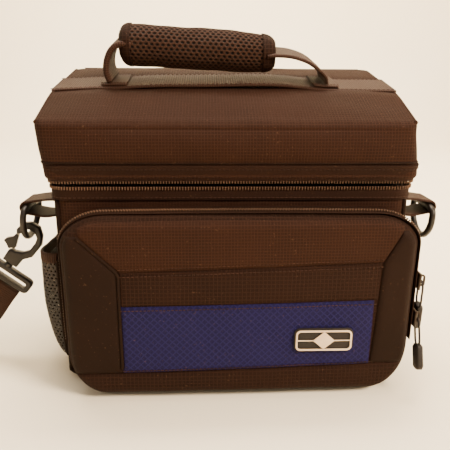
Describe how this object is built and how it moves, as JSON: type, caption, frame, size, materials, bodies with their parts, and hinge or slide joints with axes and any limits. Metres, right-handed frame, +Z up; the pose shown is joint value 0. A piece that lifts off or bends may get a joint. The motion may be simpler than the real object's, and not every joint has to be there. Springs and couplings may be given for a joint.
{
  "type": "camera shoulder bag",
  "caption": "Padded camera shoulder bag: box body, hinged zipped lid, carry handle, zipped front pocket, mesh side pockets, D-rings and a clip-on strap left rolled.",
  "frame": {"origin": "centre of the underside of the body's base, which rests on a surface", "axes": "+X to the bag's right seen from the front, the front faces -Y, +Z up"},
  "size_m": [0.5165, 0.2186, 0.2519],
  "materials": {
    "fabric": "woven nylon, matt",
    "padding": "fine ripstop nylon over foam, matt",
    "lining": "brushed loop lining over foam",
    "webbing": "ribbed webbing",
    "mesh": "open spacer mesh",
    "blue": "diamond ripstop nylon",
    "zip": "coil on woven tape",
    "plastic": "moulded, half gloss",
    "metal": "black enamel",
    "rubber": "moulded soft rubber",
    "emblem": "raised pale rubber"
  },
  "bodies": {
    "main": {"base_panel": "fabric", "wall_front": "fabric", "wall_back": "fabric", "wall_left": "fabric", "wall_right": "fabric", "floor_board": "lining", "rim_zip": "zip", "hinge_strip": "fabric", "gusset_top": "fabric", "gusset_bottom": "fabric", "gusset_left": "fabric", "gusset_right": "fabric", "pocket_zip_outer": "zip", "mesh_pocket_left": "mesh", "mesh_pocket_right": "mesh", "tab_left": "webbing", "tab_right": "webbing", "hook_base_left": "plastic", "hook_base_free": "plastic", "strap_run": "webbing", "strap_roll": "webbing", "strap_tail": "webbing", "strap_adjuster": "plastic"},
    "lid": {"lid_top": "padding", "lid_front": "padding", "lid_back": "padding", "lid_left": "padding", "lid_right": "padding", "lid_zip": "zip", "lid_webbing": "webbing"},
    "handle": {"handle_grip": "mesh", "handle_leg_left": "webbing", "handle_leg_right": "webbing"},
    "pocket_flap": {"pocket_panel": "padding", "pocket_zip_inner": "zip", "facing_left": "fabric", "facing_upper": "fabric", "facing_right": "fabric", "facing_bottom": "fabric", "slip_band": "fabric", "blue_band": "blue", "badge_patch": "rubber", "badge_emblem": "emblem"},
    "divider_left": {"divider_left": "lining"},
    "divider_right": {"divider_right": "lining"},
    "ring_left": {"ring_left": "plastic"},
    "ring_right": {"ring_right": "plastic"},
    "hook_left": {"hook_body_left": "plastic"},
    "gate_left": {"hook_gate_left": "plastic"},
    "hook_free": {"hook_body_free": "plastic"},
    "gate_free": {"hook_gate_free": "plastic"},
    "slider_pocket_upper": {"slider_pocket_upper": "metal"},
    "slider_pocket_lower": {"slider_pocket_lower": "metal"},
    "pull_pocket_upper": {"pull_pocket_upper": "rubber"},
    "pull_pocket_lower": {"pull_pocket_lower": "rubber"},
    "slider_main_left": {"slider_main_left": "metal"},
    "slider_main_right": {"slider_main_right": "metal"},
    "pull_main_left": {"pull_main_left": "rubber"},
    "pull_main_right": {"pull_main_right": "rubber"}
  },
  "joints": [
    {"name": "lid_hinge", "type": "hinge", "parent": "main", "child": "lid", "pos_m": [0, 0.065, 0.1475], "axis": [-1, 0, 0], "range_deg": [0, 110]},
    {"name": "handle_tilt", "type": "hinge", "parent": "lid", "child": "handle", "pos_m": [0, 0.00322, 0.21352], "axis": [1, 0, 0], "range_deg": [-20, 20]},
    {"name": "pocket_hinge", "type": "hinge", "parent": "main", "child": "pocket_flap", "pos_m": [0, -0.084, 0.003], "axis": [1, 0, 0], "range_deg": [0, 50]},
    {"name": "divider_left_slide", "type": "slide", "parent": "main", "child": "divider_left", "axis": [1, 0, 0], "range_m": [-0.02, 0.02]},
    {"name": "divider_right_slide", "type": "slide", "parent": "main", "child": "divider_right", "axis": [1, 0, 0], "range_m": [-0.02, 0.02]},
    {"name": "ring_left_hinge", "type": "hinge", "parent": "main", "child": "ring_left", "pos_m": [-0.149, -0.02, 0.123], "axis": [0, 1, 0], "range_deg": [-3, 3]},
    {"name": "ring_right_hinge", "type": "hinge", "parent": "main", "child": "ring_right", "pos_m": [0.149, -0.02, 0.123], "axis": [0, -1, 0], "range_deg": [0, 100]},
    {"name": "hook_left_swivel", "type": "hinge", "parent": "main", "child": "hook_left", "pos_m": [-0.17695, -0.02, 0.06766], "axis": [0.6198, 0, 0.7848], "range_deg": [-12, 12]},
    {"name": "gate_left_hinge", "type": "hinge", "parent": "hook_left", "child": "gate_left", "pos_m": [-0.16625, -0.02, 0.08928], "axis": [0, 1, 0], "range_deg": [0, 20], "stiffness_Nm_per_rad": 0.02},
    {"name": "hook_free_swivel", "type": "hinge", "parent": "main", "child": "hook_free", "pos_m": [-0.3575, 0.03, 0.0243], "axis": [0, -1, 0], "range_deg": [-60, 60]},
    {"name": "gate_free_hinge", "type": "hinge", "parent": "hook_free", "child": "gate_free", "pos_m": [-0.3575, 0.0064, 0.0293], "axis": [1, 0, 0], "range_deg": [0, 20], "stiffness_Nm_per_rad": 0.02},
    {"name": "slider_pocket_upper_slide", "type": "slide", "parent": "main", "child": "slider_pocket_upper", "axis": [0, 0, 1], "range_m": [0, 0.022]},
    {"name": "slider_pocket_lower_slide", "type": "slide", "parent": "main", "child": "slider_pocket_lower", "axis": [0, 0, 1], "range_m": [-0.012, 0]},
    {"name": "pull_pocket_upper_hinge", "type": "hinge", "parent": "slider_pocket_upper", "child": "pull_pocket_upper", "pos_m": [0.1293, -0.077, 0.083], "axis": [0, -1, 0], "range_deg": [-5, 80]},
    {"name": "pull_pocket_lower_hinge", "type": "hinge", "parent": "slider_pocket_lower", "child": "pull_pocket_lower", "pos_m": [0.1293, -0.077, 0.055], "axis": [0, -1, 0], "range_deg": [0, 80]},
    {"name": "slider_main_left_slide", "type": "slide", "parent": "main", "child": "slider_main_left", "axis": [0, 1, 0], "range_m": [-0.078, 0.006]},
    {"name": "pull_main_left_hinge", "type": "hinge", "parent": "slider_main_left", "child": "pull_main_left", "pos_m": [-0.13015, 0.034, 0.1468], "axis": [0, 1, 0], "range_deg": [-4, 80]},
    {"name": "slider_main_right_slide", "type": "slide", "parent": "main", "child": "slider_main_right", "axis": [0, 1, 0], "range_m": [-0.078, 0.006]},
    {"name": "pull_main_right_hinge", "type": "hinge", "parent": "slider_main_right", "child": "pull_main_right", "pos_m": [0.13015, 0.034, 0.1468], "axis": [0, -1, 0], "range_deg": [-4, 80]}
  ]
}
